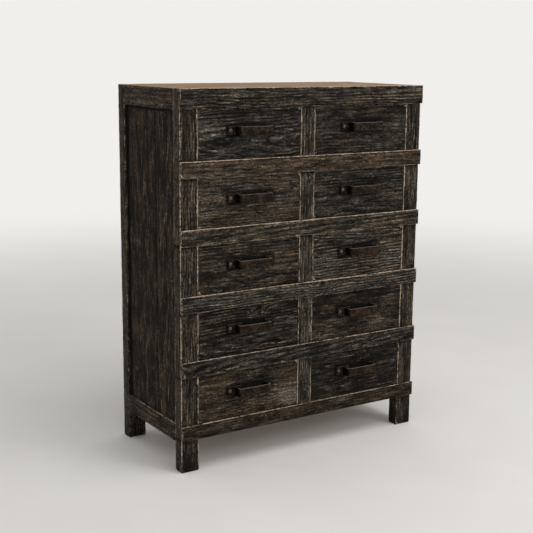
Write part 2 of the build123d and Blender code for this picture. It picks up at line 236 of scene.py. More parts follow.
def slice_along(piece, axis, spacing):
    """Divides the edges along an axis until none is much longer than the spacing."""
    mesh = piece.data
    while True:
        spans = {}
        for edge in mesh.edges:
            run = mesh.vertices[edge.vertices[1]].co - mesh.vertices[edge.vertices[0]].co
            if abs(run[axis]) > 0.999 * run.length:
                spans[edge.index] = run.length
        longest = max(spans.values())
        if longest < 1.5 * spacing:
            return
        pick(piece)
        select_edges(piece, lambda a, b: False)
        for number, span in spans.items():
            mesh.edges[number].select = span > longest - MM / 10
        edit(bpy.ops.mesh.subdivide, number_cuts=max(1, round(longest / spacing) - 1))


def dent(piece, name, size, depth, contrast=1.0, mid_level=1.0, **settings):
    """Dents a piece by a cloud texture, which is made once; size is how wide the dents are."""
    texture = bpy.data.textures.get(name) or bpy.data.textures.new(name, "CLOUDS")
    texture.noise_scale = size
    texture.contrast = contrast
    texture.noise_depth = 2
    apply(piece, "DISPLACE", texture=texture, texture_coords="LOCAL", strength=depth,
          mid_level=mid_level, **settings)


# A side as soft as SHELTER lies in a nook, where painted shade, mixed with dirt, reaches as far as NOOK
# from it. One just under that is only sheltered from wear.
SHELTER = 4
NOOK = 14 * MM
SHELTERED = {(axis, end): SHELTER for axis in (X, Y, Z) for end in (-1, 1)}

# Every board is darker towards the floor: below FOOT_HEIGHT it is rubbed less, by up to FOOT_DARKENING.
FOOT_HEIGHT = 130 * MM
FOOT_DARKENING = 0.45

# How far painted shade, mixed with dirt, reaches: a painted shadow under the front rails, shade beside
# the seams of planks, and over the side panels from the rear posts, the top rails and the front posts.
RAIL_SHADOW = 16 * MM
SEAM_SHADE = 3 * MM
PANEL_SHADE = {(Y, 1): 28 * MM, (Z, 1): 13 * MM, (Y, -1): 6 * MM}

# The least and the most that the pith lies off the middle of a board, each way.
PITH_NEAR = 18 * MM
PITH_FAR = 42 * MM

# How much more or less than its neighbours one plank in a row is rubbed.
PLANK_SPREAD = 0.12

# How much more a front post is rubbed outside, and how deep from its side that face reaches.
OUTER_RUB = 0.3
OUTER_FACE = 1.5 * MM

# How far the painted shadow reaches round a pull, and how long and high a pale spot on a drawer front is.
PULL_SHADOW = 20 * MM
PALE_LENGTH = 110 * MM
PALE_HEIGHT = 60 * MM


def second_smallest(distances):
    """The distance to a block's nearest edge, from the distances to its faces."""
    return sorted(distances)[1]


def mark_board(board, along, low, high, softness, look):
    """Writes each point's place in the board, its distance from the arrises and how it is worn.

    softness makes the arrises beside a face seem further off, so that they wear less, and painted
    shade, mixed with dirt, lies in the nook beside a sheltered one. look is how far the board is
    rubbed, how brown its wood is and how far its rings run out in arches.
    """
    rng = random.Random(board.name)
    pith = [rng.uniform(PITH_NEAR, PITH_FAR) * rng.choice((-1, 1)) for _ in range(2)]
    across = sorted((axis for axis in (X, Y, Z) if axis != along), key=lambda axis: high[axis] - low[axis])
    middle = [(a + b) / 2 for a, b in zip(low, high)]
    tone = rng.random()
    grain = []
    marks = {name: [] for name in ("arris", "nook", "rubbed", "brown", "figure", "tone")}
    for vertex in board.data.vertices:
        place = vertex.co
        grain.append(place[along] - middle[along])
        grain += [place[axis] - middle[axis] + shift for axis, shift in zip(across, pith)]
        edges = []
        for axis in (X, Y, Z):
            edges.append((max(0.0, place[axis] - low[axis]), softness.get((axis, -1), 1)))
            edges.append((max(0.0, high[axis] - place[axis]), softness.get((axis, 1), 1)))
        marks["arris"].append(second_smallest(distance * soft for distance, soft in edges))
        # painted shade, mixed with dirt, near the sides that lie in a nook
        nook = min((distance for distance, soft in edges if soft >= SHELTER), default=NOOK) / NOOK
        marks["nook"].append(max(0.0, 1 - nook))
        # darker towards the floor
        foot = max(0.0, 1 - place.z / FOOT_HEIGHT)
        marks["rubbed"].append(look[0] - FOOT_DARKENING * foot)
        marks["brown"].append(look[1])
        marks["figure"].append(look[2])
        marks["tone"].append(tone)
    board.data.attributes.new("grain", "FLOAT_VECTOR", "POINT").data.foreach_set("vector", grain)
    for name, values in marks.items():
        write_marks(board, name, values)


def write_marks(piece, name, values):
    """Gives each point of a piece a value that its material reads."""
    piece.data.attributes.new(name, "FLOAT", "POINT").data.foreach_set("value", values)


def mark_nook(piece, low, high, reach, strength):
    """Paints shade on a face where it meets the frame round it, as far as reach says for some of its sides.
    """
    marks = piece.data.attributes["nook"].data
    for vertex, mark in zip(piece.data.vertices, marks):
        for (axis, sign), width in reach.items():
            away = (high[axis] - vertex.co[axis]) if sign > 0 else (vertex.co[axis] - low[axis])
            mark.value = max(mark.value, strength * (1 - max(0.0, away) / width))


def mark_rail_shadow(piece):
    """Paints a shadow on a face just under each front rail, which stands out over it."""
    ledges = [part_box(rail)[0].z for rail in FRONT_RAILS]
    marks = piece.data.attributes["nook"].data
    for vertex, mark in zip(piece.data.vertices, marks):
        for ledge in ledges:
            if 0 <= ledge - vertex.co.z < RAIL_SHADOW:
                mark.value = max(mark.value, 1 - (ledge - vertex.co.z) / RAIL_SHADOW)


def keep_inside(piece, low, high):
    """Brings points that a bevel or a displacement took outside the frame's box back to it."""
    for vertex in piece.data.vertices:
        vertex.co = [min(max(value, a), b) for value, a, b in zip(vertex.co, low, high)]


def round_edges(piece, radius):
    """Rounds every sharp edge of a piece."""
    apply(piece, "BEVEL", width=radius, segments=2, limit_method="ANGLE", angle_limit=math.radians(50))


def weather(board, low, high, along, softness, look, chips=1.0):
    """Slices a board, rounds and chips its arrises, waves its faces and marks its grain."""
    slice_along(board, along, wear().spacing)
    for axis in (X, Y, Z):
        if axis != along:
            slice_along(board, axis, 1.5 * wear().spacing)
    radius = wear().arris * chips
    round_edges(board, radius)
    group = board.vertex_groups.new(name="arris")
    for vertex in board.data.vertices:
        distances = [abs(vertex.co[axis] - end[axis]) for axis in (X, Y, Z) for end in (low, high)]
        closeness = 1 - second_smallest(distances) / (2 * radius)
        if closeness > 0:
            group.add([vertex.index], closeness, "REPLACE")
    dent(board, "hewn", 70 * MM, wear().hewn * chips)
    dent(board, "chips", 16 * MM, wear().chips * chips, contrast=2.2, vertex_group="arris")
    board.vertex_groups.clear()
    mark_board(board, along, low, high, softness, look)
    pick(board)
    bpy.ops.object.shade_smooth_by_angle(angle=math.radians(35))


def finish_piece(piece, body, node, slot, *materials):
    """Puts a piece on its body, in place of its node, with its materials."""
    for material in materials:
        piece.data.materials.append(material)
    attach(piece, body)
    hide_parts(node)


def repaint(board, number, test):
    """Gives the faces that pass a test another of the board's materials."""
    for face in board.data.polygons:
        if test(face.center, face.normal):
            face.material_index = number


# ------------------------------------------------------------------------------ materials
def add_node(tree, kind, inputs=None, **settings):
    """Adds a shader node with its settings; an input is a value or another node's output."""
    node = tree.nodes.new(kind)
    for setting, value in settings.items():
        setattr(node, setting, value)
    for socket, value in (inputs or {}).items():
        if isinstance(value, bpy.types.NodeSocket):
            tree.links.new(value, node.inputs[socket])
        else:
            node.inputs[socket].default_value = value
    return node


def new_material(name):
    """A material with only a shader and its output."""
    material = bpy.data.materials.new(name)
    material.use_nodes = True
    tree = material.node_tree
    tree.nodes.clear()
    shader = add_node(tree, "ShaderNodeBsdfPrincipled")
    add_node(tree, "ShaderNodeOutputMaterial", {"Surface": shader.outputs[0]})
    return material, tree, shader


def opaque(value):
    """A colour with no transparency."""
    return (*value, 1.0)


def ramp(tree, value, low, high, from_value=0.0, to_value=1.0):
    """Takes a value smoothly from one level to another."""
    return add_node(tree, "ShaderNodeMapRange", {"Value": value, "From Min": low, "From Max": high,
                    "To Min": from_value, "To Max": to_value}, interpolation_type="SMOOTHSTEP").outputs[0]


def mix(tree, factor, first, second):
    """Mixes two colours."""
    return add_node(tree, "ShaderNodeMix", {0: factor, 6: first, 7: second}, data_type="RGBA").outputs[2]


def maths(tree, operation, first, second=0.0, clamp=False):
    """One sum on two values."""
    return add_node(tree, "ShaderNodeMath", {0: first, 1: second}, operation=operation,
                    use_clamp=clamp).outputs[0]


def plus(tree, first, second):
    """The sum of two values."""
    return maths(tree, "ADD", first, second)


def minus(tree, first, second):
    """The first value less the second."""
    return maths(tree, "SUBTRACT", first, second)


def times(tree, first, second):
    """The product of two values."""
    return maths(tree, "MULTIPLY", first, second)


def vector_maths(tree, operation, *values):
    """One sum on vectors."""
    return add_node(tree, "ShaderNodeVectorMath", dict(enumerate(values)), operation=operation).outputs[0]


def noise(tree, place, scale, detail=2.0, roughness=0.5):
    """Noise on its own scale, the same in every direction."""
    return add_node(tree, "ShaderNodeTexNoise", {"Vector": place, "Scale": scale, "Detail": detail,
                    "Roughness": roughness})


def streaks(tree, place, run, width, detail=3.0, roughness=0.55):
    """Noise drawn out along the grain: run long and width wide, in metres."""
    stretched = vector_maths(tree, "MULTIPLY", place, (1 / run, 1 / width, 1 / width))
    return noise(tree, stretched, 1.0, detail, roughness).outputs[0]


# How far the pith leans off the board's length, and how far apart knots may stand along and across it.
PITH_LEAN = 0.06
KNOT_PITCH = (190 * MM, 105 * MM)


def growth_rings(tree, spacing, wander, flow):
    """Growth rings round the pith, which sways and leans so that they run out in arches."""
    grain = attribute(tree, "grain", "Vector")
    place = board_place(tree)
    along = add_node(tree, "ShaderNodeSeparateXYZ", {0: grain}).outputs[0]
    sway = minus(tree, streaks(tree, place, 180 * MM, 60 * MM, 3.0), 0.5)
    sway = plus(tree, times(tree, sway, wander), flow)
    lean = times(tree, along, times(tree, attribute(tree, "figure"), PITH_LEAN))
    shift = add_node(tree, "ShaderNodeCombineXYZ", {"Y": plus(tree, sway, lean), "Z": sway}).outputs[0]
    swayed = vector_maths(tree, "ADD", grain, shift)
    return add_node(tree, "ShaderNodeTexWave", {"Vector": swayed, "Scale": math.tau / (20 * spacing)},
                    wave_type="RINGS", rings_direction="X", wave_profile="SIN").outputs["Fac"]


def knots(tree, place):
    """A few knots: how near each point is to one, and its dark heart."""
    wobble = noise(tree, place, 30.0).outputs["Color"]
    place = vector_maths(tree, "MULTIPLY_ADD", wobble, (30 * MM, 30 * MM, 30 * MM), place)
    parts = add_node(tree, "ShaderNodeSeparateXYZ", {0: place})
    cell = add_node(tree, "ShaderNodeCombineXYZ", {
        "X": maths(tree, "DIVIDE", parts.outputs[0], KNOT_PITCH[0]),
        "Y": maths(tree, "DIVIDE", parts.outputs[2], KNOT_PITCH[1])}).outputs[0]
    voronoi = add_node(tree, "ShaderNodeTexVoronoi", {"Vector": cell, "Scale": 1.0},
                       voronoi_dimensions="2D")
    chosen = ramp(tree, voronoi.outputs["Color"], 0.58, 0.60)
    near = times(tree, ramp(tree, voronoi.outputs["Distance"], 0.0, 0.32, 1.0, 0.0), chosen)
    heart = times(tree, ramp(tree, voronoi.outputs["Distance"], 0.03, 0.07, 1.0, 0.0), chosen)
    return near, heart


def attribute(tree, name, output="Fac"):
    """A value that was marked on the points of a piece."""
    return add_node(tree, "ShaderNodeAttribute", attribute_name=name).outputs[output]


def board_place(tree):
    """The place in a board, shifted by its tone so that no two boards show the same noise."""
    return vector_maths(tree, "MULTIPLY_ADD", attribute(tree, "tone"), (41.0, 23.0, 17.0),
                        attribute(tree, "grain", "Vector"))


def thin_line(tree, value, width):
    """A line where a noise passes its middle."""
    return ramp(tree, maths(tree, "ABSOLUTE", minus(tree, value, 0.5)), 0.0, width, 1.0, 0.0)


def scaled(tree, colour_value, factor):
    """A colour made darker or lighter."""
    if not isinstance(colour_value, bpy.types.NodeSocket):
        colour_value = colour_value[:3]
    return add_node(tree, "ShaderNodeVectorMath", {0: colour_value, "Scale": factor},
                    operation="SCALE").outputs[0]


def coat(tree, shader, skin, height, relief, roughness, specular):
    """Gives a shader its colour, its relief, as strength and depth, and its gloss."""
    strength, depth = relief
    bump = add_node(tree, "ShaderNodeBump", {"Strength": strength, "Distance": depth, "Height": height})
    tree.links.new(skin, shader.inputs["Base Color"])
    tree.links.new(bump.outputs[0], shader.inputs["Normal"])
    shader.inputs["Roughness"].default_value = roughness
    shader.inputs["Specular IOR Level"].default_value = specular


def dry_bloom(tree, place, grit, pale, bare):
    """Dry paint rubbed to a speckled bloom in clouds, and in dashes where the ridges are bare."""
    clouds = plus(tree, streaks(tree, place, 90 * MM, 40 * MM, 3.0), times(tree, pale, 0.18))
    bloom = times(tree, ramp(tree, clouds, 0.62, 0.80), ramp(tree, grit, 0.44, 0.66, 0.1, 0.6))
    dash = ramp(tree, streaks(tree, place, 22 * MM, 2.8 * MM, 2.0), 0.64, 0.74, 0.0, 0.4)
    return maths(tree, "MAXIMUM", bloom, times(tree, dash, bare))


def nook_shade_and_grime(tree, patches):
    """Painted shadow behind the pulls, and painted shade mixed with dirt in the nooks beside other boards.
    """
    shade_and_grime = maths(tree, "MAXIMUM", attribute(tree, "soot"), attribute(tree, "nook"))
    shade_and_grime = plus(tree, shade_and_grime, times(tree, minus(tree, patches, 0.5), 0.8))
    return ramp(tree, shade_and_grime, 0.25, 0.95, 0.0, 0.92)


def bare_arrises(tree, place, rubbed):
    """Bare wood along the arrises, wider and narrower, in dashes where it is only touched."""
    reach = ramp(tree, streaks(tree, place, 45 * MM, 9 * MM, 3.0, 0.6), 0.30, 0.70, 1.0 * MM, 3.2 * MM)
    dashes = streaks(tree, place, 9 * MM, 9 * MM, 2.0)
    reach = times(tree, reach, ramp(tree, dashes, 0.38, 0.58, 0.5, 1.0))
    reach = times(tree, reach, ramp(tree, rubbed, 0.0, 0.8, 0.6, 1.15))
    return ramp(tree, minus(tree, reach, attribute(tree, "arris")), -0.6 * MM, 0.6 * MM, 0.0, 0.92)


def black_paint_on_pine():
    """Milk paint brushed on reclaimed pine: thin and matt, so rings, cracks and rubbed wood show."""
    tints = colours()
    material, tree, shader = new_material("black_milk_paint_on_reclaimed_pine")
    place = board_place(tree)
    rubbed = attribute(tree, "rubbed")
    pale = attribute(tree, "pale")
    fibre = streaks(tree, place, 18 * MM, 3.0 * MM, 4.0, 0.7)
    grain = streaks(tree, place, 65 * MM, 4.5 * MM, 4.0, 0.65)
    clouds = streaks(tree, place, 90 * MM, 22 * MM, 4.0, 0.62)
    patches = streaks(tree, place, 60 * MM, 14 * MM, 4.0, 0.65)
    grit = streaks(tree, place, 6 * MM, 4.5 * MM, 3.0, 0.7)
    saw = streaks(tree, place, 4 * MM, 70 * MM, 2.0)
    near_knot, heart = knots(tree, place)
    rings = growth_rings(tree, 9 * MM, 28 * MM, times(tree, near_knot, 26 * MM))
    # sound black paint, and grey or brown wood where it is rubbed thin
    hue = minus(tree, streaks(tree, place, 160 * MM, 45 * MM, 3.0), 0.5)
    hue = maths(tree, "ADD", attribute(tree, "brown"), times(tree, hue, 1.8), True)
    wood = mix(tree, hue, opaque(tints.grey), opaque(tints.brown))
    paint = mix(tree, hue, opaque(tints.paint), opaque(tints.smoked))
    thin = plus(tree, clouds, times(tree, rubbed, 0.34))
    thin = ramp(tree, plus(tree, thin, times(tree, pale, 0.16)), 0.42, 0.88)
    skin = mix(tree, thin, paint, wood)
    # the ridges of the grain rubbed bare in places, and dirt left in the hollows
    bare = plus(tree, patches, times(tree, rubbed, 0.22))
    bare = ramp(tree, plus(tree, bare, times(tree, pale, 0.12)), 0.50, 0.74)
    relief = ramp(tree, attribute(tree, "figure"), 0.0, 0.8, 0.48, 0.90)
    ridge = times(tree, ramp(tree, rings, 0.66, 0.94), ramp(tree, grain, 0.42, 0.60))
    ridge = times(tree, times(tree, ridge, bare), relief)
    skin = mix(tree, ridge, skin, opaque(tints.ridge))
    hollow = times(tree, ramp(tree, rings, 0.30, 0.08), ramp(tree, grain, 0.62, 0.48))
    skin = mix(tree, times(tree, hollow, relief), skin, opaque(tints.crack))
    # fibres, grit and saw marks lighter and darker
    skin = scaled(tree, skin, ramp(tree, fibre, 0.34, 0.66, 0.38, 1.68))
    skin = scaled(tree, skin, ramp(tree, grit, 0.34, 0.66, 0.42, 1.66))
    skin = scaled(tree, skin, ramp(tree, times(tree, saw, clouds), 0.15, 0.35, 0.82, 1.16))
    # black cracks that follow the grain, and the hearts of the knots
    crack = times(tree, thin_line(tree, streaks(tree, place, 150 * MM, 14 * MM, 3.0), 0.026),
                  ramp(tree, patches, 0.44, 0.54))
    crack = maths(tree, "MAXIMUM", crack, times(tree, heart, 0.7))
    skin = mix(tree, crack, skin, opaque(tints.crack))
    skin = mix(tree, dry_bloom(tree, place, grit, pale, bare), skin, opaque(tints.frost))
    # painted shade in the nooks and a painted shadow behind the pulls, mixed with dirt
    skin = mix(tree, nook_shade_and_grime(tree, patches), skin, opaque(tints.crack))
    bare_wood = scaled(tree, opaque(tints.arris), ramp(tree, grit, 0.3, 0.7, 0.75, 1.15))
    skin = mix(tree, bare_arrises(tree, place, rubbed), skin, bare_wood)
    height = plus(tree, times(tree, fibre, 0.6), times(tree, rings, 0.3))
    height = plus(tree, height, times(tree, grit, 0.25))
    height = minus(tree, height, times(tree, crack, 1.2))
    coat(tree, shader, skin, height, relief=(0.8, 0.8 * MM), roughness=0.75, specular=0.08)
    return material


def pale_top_pine():
    """Pine of the top, painted pale grey-beige, with soft stains along the grain."""
    tints = colours()
    material, tree, shader = new_material("weathered_bare_pine")
    place = board_place(tree)
    fibre = streaks(tree, place, 60 * MM, 3.5 * MM, 4.0, 0.65)
    near_knot, heart = knots(tree, place)
    rings = growth_rings(tree, 10 * MM, 24 * MM, times(tree, near_knot, 30 * MM))
    clouds = streaks(tree, place, 260 * MM, 60 * MM, 4.0, 0.6)
    shade = times(tree, ramp(tree, clouds, 0.36, 0.68), ramp(tree, rings, 0.2, 1.0, 0.35, 1.0))
    skin = mix(tree, shade, opaque(tints.top), opaque(tints.top_dark))
    skin = scaled(tree, skin, ramp(tree, fibre, 0.30, 0.70, 0.78, 1.20))
    crack = times(tree, thin_line(tree, streaks(tree, place, 300 * MM, 16 * MM), 0.010),
                  ramp(tree, clouds, 0.48, 0.56))
    crack = times(tree, maths(tree, "MAXIMUM", crack, heart), 0.65)
    skin = mix(tree, crack, skin, opaque(tints.brown))
    worn = ramp(tree, attribute(tree, "arris"), 0.5 * MM, 3.5 * MM, 0.7, 0.0)
    skin = mix(tree, worn, skin, opaque(tints.arris))
    height = plus(tree, fibre, times(tree, rings, 0.4))
    height = minus(tree, height, crack)
    coat(tree, shader, skin, height, relief=(0.6, 0.6 * MM), roughness=0.8, specular=0.1)
    return material


# Where the pattern of the bare pine starts, off the middle of the chest.
PINE_START = (3.1, 0.04, 0.05)


def planed_pine(name, turn):
    """Bare planed pine inside the chest: warm and smooth, with fine rings and darker clouds."""
    tints = colours()
    material, tree, shader = new_material(name)
    coordinates = add_node(tree, "ShaderNodeTexCoord").outputs["Object"]
    place = add_node(tree, "ShaderNodeMapping", {"Vector": coordinates, "Location": PINE_START,
                     "Rotation": turn}).outputs[0]
    fibre = streaks(tree, place, 80 * MM, 1.8 * MM)
    lines = streaks(tree, place, 350 * MM, 7 * MM, 2.0)
    clouds = streaks(tree, place, 200 * MM, 60 * MM)
    skin = mix(tree, ramp(tree, lines, 0.42, 0.66, 0.0, 0.8), opaque(tints.pine), opaque(tints.pine_dark))
    skin = mix(tree, ramp(tree, clouds, 0.4, 0.75, 0.0, 0.6), skin, opaque(tints.pine_dark))
    skin = scaled(tree, skin, ramp(tree, fibre, 0.3, 0.7, 0.85, 1.12))
    coat(tree, shader, skin, fibre, relief=(0.4, 0.4 * MM), roughness=0.65, specular=0.3)
    return material


def forged_iron():
    """Mild steel bar forged black and left to rust: black scale, brown where hands rub it."""
    tints = colours()
    material, tree, shader = new_material("forged_iron_with_rust")
    place = add_node(tree, "ShaderNodeTexCoord").outputs["Object"]
    rubbed = attribute(tree, "rubbed")
    patches = noise(tree, place, 26.0, 3.0).outputs[0]
    bloom = noise(tree, place, 150.0, 5.0, 0.65).outputs[0]
    grit = noise(tree, place, 600.0).outputs[0]
    rust = plus(tree, plus(tree, times(tree, patches, 1.2), bloom), times(tree, rubbed, 0.65))
    rust = ramp(tree, rust, 1.50, 2.05)
    skin = mix(tree, rust, opaque(tints.scale), opaque(tints.rust))
    skin = scaled(tree, skin, ramp(tree, bloom, 0.3, 0.7, 0.5, 1.4))
    # pale edges: iron rubbed bare, and a painted highlight on the grip's top edge
    edge = ramp(tree, attribute(tree, "arris"), 0.5 * MM, 2.2 * MM, 1.0, 0.0)
    edge = times(tree, edge, ramp(tree, bloom, 0.30, 0.55, 0.45, 1.0))
    edge = times(tree, edge, ramp(tree, rubbed, 0.2, 0.8, 0.1, 0.85))
    skin = mix(tree, edge, skin, opaque(tints.bright))
    height = plus(tree, times(tree, grit, 0.5), bloom)
    coat(tree, shader, skin, height, relief=(0.6, 0.5 * MM), roughness=0.55, specular=0.08)
    return material


def material_for(name):
    """One of the finishes, made when it is first asked for."""
    makers = {
        "black_milk_paint_on_reclaimed_pine": black_paint_on_pine,
        "weathered_bare_pine": pale_top_pine,
        "planed_pine_along": lambda: planed_pine("planed_pine_along", (0.0, 0.0, math.pi / 2)),
        "planed_pine_across": lambda: planed_pine("planed_pine_across", (0.0, 0.0, 0.0)),
        "forged_iron_with_rust": forged_iron,
    }
    return bpy.data.materials.get(name) or makers[name]()


def painted():
    """The finish of the outside."""
    return material_for("black_milk_paint_on_reclaimed_pine")


def top_finish():
    """The finish of the top."""
    return material_for("weathered_bare_pine")


# How far below the top a level face may lie and still be painted pale like the top.
TOP_FACE_DEPTH = 6 * MM


def finish_frame(piece, node):
    """Puts a black piece of the frame in place of its node; its faces level with the top are pale like the
    top.
    """
    finish_piece(piece, CARCASS, node, "black_painted_wood", painted(), top_finish())
    bare = cad_bounds[1].z - TOP_FACE_DEPTH
    repaint(piece, 1, lambda middle, normal: normal.z > 0.6 and middle.z > bare)


# How far each board is rubbed, how brown its wood is, and how far its rings arch.
LOOKS = {
    "drawer_1_left": (0.36, 0.2, 1.0),
    "drawer_1_right": (0.28, 0.5, 0.3),
    "drawer_2_left": (0.52, 0.6, 0.1),
    "drawer_2_right": (0.28, 0.4, 0.6),
    "drawer_3_left": (0.36, 0.6, 0.3),
    "drawer_3_right": (0.58, 0.45, 0.7),
    "drawer_4_left": (0.22, 0.5, 0.9),
    "drawer_4_right": (0.13, 0.75, 0.1),
    "drawer_5_left": (0.43, 0.9, 0.1),
    "drawer_5_right": (0.08, 0.4, 0.4),
    "rail_front_top": (0.38, 0.5, 0.6),
    "rail_front_1": (0.57, 0.9, 0.0),
    "rail_front_2": (0.64, 0.6, 0.5),
    "rail_front_3": (0.57, 0.3, 0.6),
    "rail_front_4": (0.36, 0.3, 0.8),
    "rail_front_bottom": (0.30, 0.9, 0.0),
    "front_post": (0.42, 0.55, 0.3),
    "rear_post": (0.68, 0.45, 0.2),
    "stile": (0.56, 0.5, 0.3),
    "side_rail": (0.55, 0.7, 0.0),
    "side_plank": (0.30, 1.0, 0.4),
    "back_board": (0.25, 0.5, 0.6),
    "top_board": (0.5, 0.5, 0.5),
}


# Where a drawer front is rubbed to a pale bloom: the middle of each spot, across and up the front.
PALE_SPOTS = {
    "drawer_1_left": ((0.05, 0.5),),
    "drawer_2_left": ((0.03, 0.5),),
    "drawer_3_right": ((0.08, 0.2), (0.92, 0.15)),
    "drawer_4_right": ((0.15, 0.1), (0.7, 0.15)),
    "drawer_5_left": ((0.95, 0.15), (0.85, 0.25)),
}


# ------------------------------------------------------------------------------ pieces
class CHEST_OT_posts(bpy.types.Operator):
    """Four square posts with the grain upright"""
    bl_idname = "chest.posts"
    bl_label = "Posts"

    def execute(self, context):
        for end in ("front", "rear"):
            for side in SIDES:
                node = f"post_{end}_{side}"
                low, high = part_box(node)
                inner = 1 if side == "left" else -1
                edges = {"front": {(Z, 1): 2.0, (X, inner): 0.48, (X, -inner): 0.95},
                         "rear": {(Z, 1): 2.0, (Y, -1): SHELTER - 1, (Y, 1): 0.6}}
                post = block(f"worn_{node}", low, high)
                weather(post, low, high, Z, softness=edges[end], look=LOOKS[f"{end}_post"])
                if end == "front":
                    # a painted shadow under each front rail
                    mark_rail_shadow(post)
                    rub_outside(post, -inner)
                keep_inside(post, low, high)
                finish_frame(post, node)
        return {"FINISHED"}


def rub_outside(post, sign):
    """Rubs the outer face of a post more than its front, where things brush past it."""
    outer = max(sign * vertex.co.x for vertex in post.data.vertices)
    for vertex, mark in zip(post.data.vertices, post.data.attributes["rubbed"].data):
        if sign * vertex.co.x > outer - OUTER_FACE:
            mark.value += OUTER_RUB


class CHEST_OT_front_rails(bpy.types.Operator):
    """Six planks across the front, thicker between the posts and the stile"""
    bl_idname = "chest.front_rails"
    bl_label = "Front rails"

    def execute(self, context):
        post_low, post_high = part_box("post_front_right")
        stile_low, stile_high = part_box("centre_stile")
        for node in FRONT_RAILS:
            low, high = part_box(node)
            rail = block(f"worn_{node}", low, (high.x, post_low.y, high.z))
            cut_at(rail, X, (-post_low.x, stile_low.x, stile_high.x, post_low.x))
            extrude(rail, lambda middle, normal: normal.y > 0.5
                    and stile_high.x < abs(middle.x) < post_low.x, (0, high.y - post_low.y, 0))
            # the higher a rail is, the paler its top arris: partly wear, partly painted light that is
            # brighter higher up
            top_edge_wear_and_light = 1.25 - 0.4 * low.z
            weather(rail, low, high, X, chips=0.7, look=LOOKS[node],
                    softness={(X, -1): 2.6, (X, 1): 2.6, (Y, -1): 0.35, (Z, -1): 1.8, (Z, 1): top_edge_wear_and_light})
            finish_frame(rail, node)
        return {"FINISHED"}


class CHEST_OT_stile(bpy.types.Operator):
    """The upright between the two columns of drawers"""
    bl_idname = "chest.stile"
    bl_label = "Centre stile"

    def execute(self, context):
        low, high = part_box("centre_stile")
        stile = block("worn_centre_stile", low, high)
        weather(stile, low, high, Z, softness={(X, -1): 0.75, (X, 1): 0.75}, look=LOOKS["stile"])
        # a painted shadow under each front rail
        mark_rail_shadow(stile)
        finish_frame(stile, "centre_stile")
        return {"FINISHED"}


def sheltered(seams, start, end, axis):
    """Softness of a plank in a row: only its ends and the outer planks' outer edges lie in a nook."""
    softness = {(side, sign): SHELTER - 1 for side in (X, Y) for sign in (-1, 1)}
    softness[(Z, -1)] = softness[(Z, 1)] = SHELTER
    if start == seams[0]:
        softness[(axis, -1)] = SHELTER
    if end == seams[-1]:
        softness[(axis, 1)] = SHELTER
    return softness


def upright_planks(name, look, low, high, seams, axis):
    """Planks side by side along an axis, each with a tongue behind the next."""
    planks = []
    other = Y if axis == X else X
    outward = 1 if low[other] + high[other] > 0 else -1
    middle = (low[other] + high[other]) / 2
    rng = random.Random(name)
    for number, (start, end) in enumerate(zip(seams, seams[1:])):
        rubbed = look[0] + rng.uniform(-PLANK_SPREAD, PLANK_SPREAD)
        plank_low, plank_high = Vector(low), Vector(high)
        plank_low[axis] = start + wear().seam / 2
        plank_high[axis] = end - wear().seam / 2
        plank = block(f"{name}_{number}", plank_low, plank_high)
        if end != seams[-1]:
            cut_at(plank, other, [middle])
            shift = [0, 0, 0]
            shift[axis] = wear().lap
            extrude(plank, lambda place, normal: normal[axis] > 0.5
                    and (place[other] - middle) * outward < 0, shift)
        weather(plank, plank_low, plank_high, Z, softness=sheltered(seams, start, end, axis), chips=0.6,
                look=(rubbed, *look[1:]))
        # painted shade, mixed with dirt, beside the seams
        mark_nook(plank, plank_low, plank_high, {(axis, -1): SEAM_SHADE, (axis, 1): SEAM_SHADE}, 1.0)
        planks.append(plank)
    return planks


def join(name, pieces):
    """Joins pieces into the first of them."""
    bpy.ops.object.select_all(action="DESELECT")
    for piece in pieces:
        piece.select_set(True)
    bpy.context.view_layer.objects.active = pieces[0]
    bpy.ops.object.join()
    pieces[0].name = pieces[0].data.name = name
    return pieces[0]


